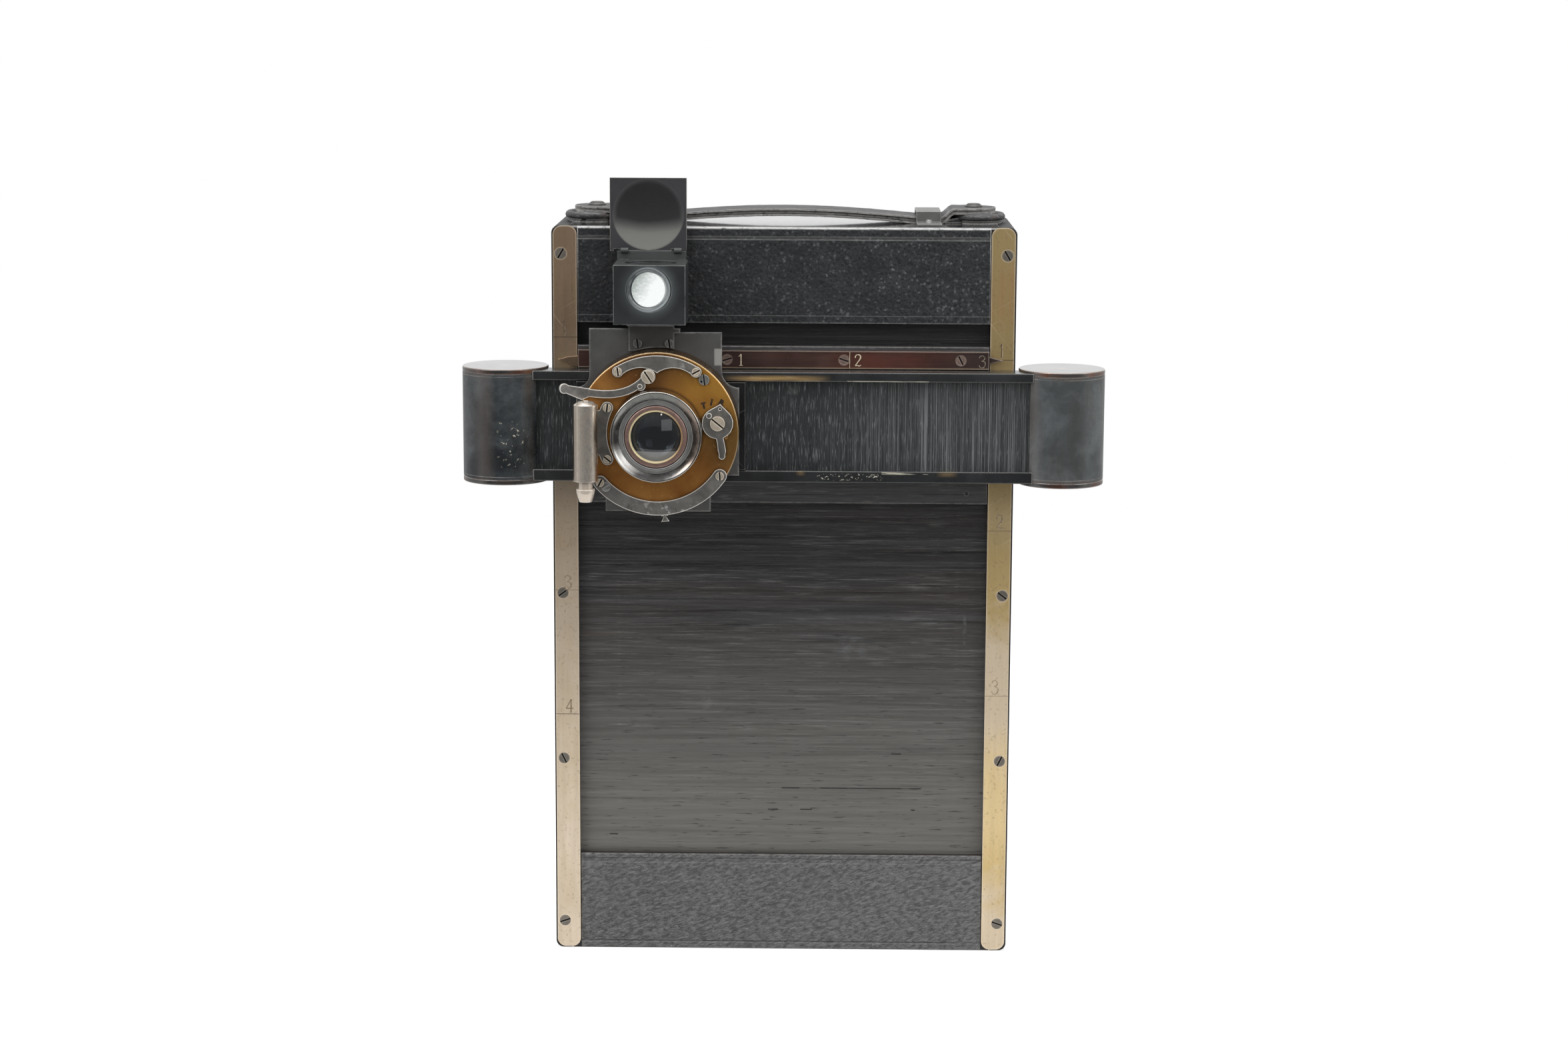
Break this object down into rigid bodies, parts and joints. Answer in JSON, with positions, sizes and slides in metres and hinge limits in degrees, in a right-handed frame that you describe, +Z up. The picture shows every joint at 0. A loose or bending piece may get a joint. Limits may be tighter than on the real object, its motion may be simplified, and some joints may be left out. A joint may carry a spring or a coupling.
{
  "type": "multiplying camera",
  "caption": "Upright wooden box camera with a lens and shutter on a cross slide and a vertical carriage, veneer blinds, roller housings, waist finder and a ground glass back.",
  "frame": {"origin": "centre of the case's base, on the axis of the tripod bush at its outer face", "axes": "+Z up along the case, -Y out of the lens towards the subject, +X to the right seen from the front"},
  "size_m": [0.2216, 0.0894, 0.2745],
  "materials": {
    "ebonised_wood": "black polish, rubbed at the edges",
    "mahogany": "thin varnish",
    "veneer": "stained veneer, dull polish",
    "black_leather": "pebbled, waxed",
    "strap_leather": "smooth, scuffed",
    "rail_brass": "nickel plate worn to the brass",
    "brass": "plain turned",
    "nickel": "nickel plated, tarnished",
    "bright_nickel": "nickel plated, polished",
    "steel": "dull screws",
    "black_lacquer": "black lacquer, chipped at edges",
    "cap_lacquer": "lacquer worn to copper-coloured brass",
    "amber_brass": "lacquered brass, satin",
    "dark_brass": "oxidised red-brown",
    "cell_brass": "oxidised, pinkish",
    "lens_glass": "polished",
    "ground_glass": "matt on one side"
  },
  "bodies": {
    "case": {"left_side_board": "ebonised_wood", "right_side_board": "ebonised_wood", "top_board": "mahogany", "base_board": "mahogany", "front_boards": "mahogany", "case_leather": "black_leather", "left_rail": "rail_brass", "right_rail": "rail_brass", "rail_screws": "steel", "blind_guides": "mahogany", "roller_brackets": "brass", "back_frame": "mahogany", "tripod_bush": "brass", "handle_strap": "strap_leather", "handle_loops": "strap_leather", "handle_fittings": "nickel", "back_springs": "brass", "spring_screws": "brass"},
    "upper_roller": {"upper_roller": "mahogany"},
    "lower_roller": {"lower_roller": "mahogany"},
    "focusing_back": {"focusing_frame": "mahogany", "ground_glass": "ground_glass", "glass_bead": "mahogany"},
    "carriage": {"carriage_board": "ebonised_wood", "upper_blind": "veneer", "lower_blind": "veneer", "scale_bar": "dark_brass", "scale_screws": "steel", "row_pointers": "nickel", "carriage_frame": "black_lacquer", "housings": "black_lacquer", "housing_caps": "cap_lacquer"},
    "left_roller": {"left_roller": "mahogany"},
    "right_roller": {"right_roller": "mahogany"},
    "lens_board": {"lens_panel": "black_lacquer", "lens_plate": "black_lacquer", "exposure_chamber": "black_lacquer", "left_blind": "veneer", "right_blind": "veneer", "shutter_case": "amber_brass", "shutter_face": "amber_brass", "nickel_plates": "nickel", "shutter_screws": "nickel", "lens_barrel": "nickel", "lens_cell": "cell_brass", "front_lens": "lens_glass", "rear_cell": "brass", "rear_lens": "lens_glass", "air_cylinder": "bright_nickel", "finder_box": "black_lacquer", "finder_optics": "lens_glass", "finder_bracket": "black_lacquer"},
    "air_piston": {"air_piston": "bright_nickel"},
    "release_lever": {"release_lever": "nickel"},
    "mode_lever": {"mode_lever": "nickel"},
    "stop_ring": {"stop_ring": "nickel"},
    "upper_blade": {"upper_blade": "black_lacquer"},
    "lower_blade": {"lower_blade": "black_lacquer"},
    "finder_lid": {"finder_lid": "black_lacquer"}
  },
  "joints": [
    {"name": "carriage_slide", "type": "slide", "parent": "case", "child": "carriage", "axis": [0, 0, 1], "range_m": [-0.1259, 0.0074], "deforming": ["upper_blind", "lower_blind"]},
    {"name": "lens_slide", "type": "slide", "parent": "carriage", "child": "lens_board", "axis": [1, 0, 0], "range_m": [0, 0.08466], "deforming": ["left_blind", "right_blind"]},
    {"name": "back_slide", "type": "slide", "parent": "case", "child": "focusing_back", "axis": [0, 1, 0], "range_m": [0, 0.008], "stiffness_N_per_m": 500, "springref_m": -0.004, "deforming": ["back_springs"]},
    {"name": "upper_roller_turn", "type": "hinge", "parent": "case", "child": "upper_roller", "pos_m": [0, -0.0144, 0.2405], "axis": [1, 0, 0], "range_deg": [-60, 850]},
    {"name": "lower_roller_turn", "type": "hinge", "parent": "case", "child": "lower_roller", "pos_m": [0, -0.0144, 0.0159], "axis": [1, 0, 0], "range_deg": [-60, 850]},
    {"name": "left_roller_turn", "type": "hinge", "parent": "carriage", "child": "left_roller", "pos_m": [-0.096, -0.027, 0.18877], "axis": [0, 0, 1], "range_deg": [-10, 710]},
    {"name": "right_roller_turn", "type": "hinge", "parent": "carriage", "child": "right_roller", "pos_m": [0.096, -0.027, 0.18877], "axis": [0, 0, 1], "range_deg": [-10, 710]},
    {"name": "release_lever_swing", "type": "hinge", "parent": "lens_board", "child": "release_lever", "pos_m": [-0.04526, -0.0535, 0.20833], "axis": [0, 1, 0], "range_deg": [0, 8], "stiffness_Nm_per_rad": 0.02, "springref_deg": -5.73},
    {"name": "air_piston_slide", "type": "slide", "parent": "lens_board", "child": "air_piston", "axis": [0, 0, 1], "range_m": [0, 0.0032], "stiffness_N_per_m": 1, "springref_m": 0.0146},
    {"name": "mode_lever_swing", "type": "hinge", "parent": "lens_board", "child": "mode_lever", "pos_m": [-0.02183, -0.0527, 0.19247], "axis": [0, 1, 0], "range_deg": [-45, 0]},
    {"name": "stop_ring_turn", "type": "hinge", "parent": "lens_board", "child": "stop_ring", "pos_m": [-0.04233, -0.0503, 0.18877], "axis": [0, 1, 0], "range_deg": [-30, 40]},
    {"name": "upper_blade_swing", "type": "hinge", "parent": "lens_board", "child": "upper_blade", "pos_m": [-0.02433, -0.0456, 0.19177], "axis": [0, 1, 0], "range_deg": [0, 32], "stiffness_Nm_per_rad": 0.002, "springref_deg": -11.46},
    {"name": "lower_blade_swing", "type": "hinge", "parent": "lens_board", "child": "lower_blade", "pos_m": [-0.02433, -0.045, 0.18577], "axis": [0, 1, 0], "range_deg": [-32, 0]},
    {"name": "finder_lid_hinge", "type": "hinge", "parent": "lens_board", "child": "finder_lid", "pos_m": [-0.04485, -0.0293, 0.24887], "axis": [1, 0, 0], "range_deg": [0, 90]}
  ],
  "couplings": [
    {"joint": "upper_roller_turn", "follows": "carriage_slide", "rad_per_m": -116.28},
    {"joint": "lower_roller_turn", "follows": "carriage_slide", "rad_per_m": -116.28},
    {"joint": "left_roller_turn", "follows": "lens_slide", "rad_per_m": 142.86},
    {"joint": "right_roller_turn", "follows": "lens_slide", "rad_per_m": 142.86},
    {"joint": "air_piston_slide", "follows": "release_lever_swing", "m_per_rad": 0.0208},
    {"joint": "lower_blade_swing", "follows": "upper_blade_swing", "ratio": -1}
  ]
}
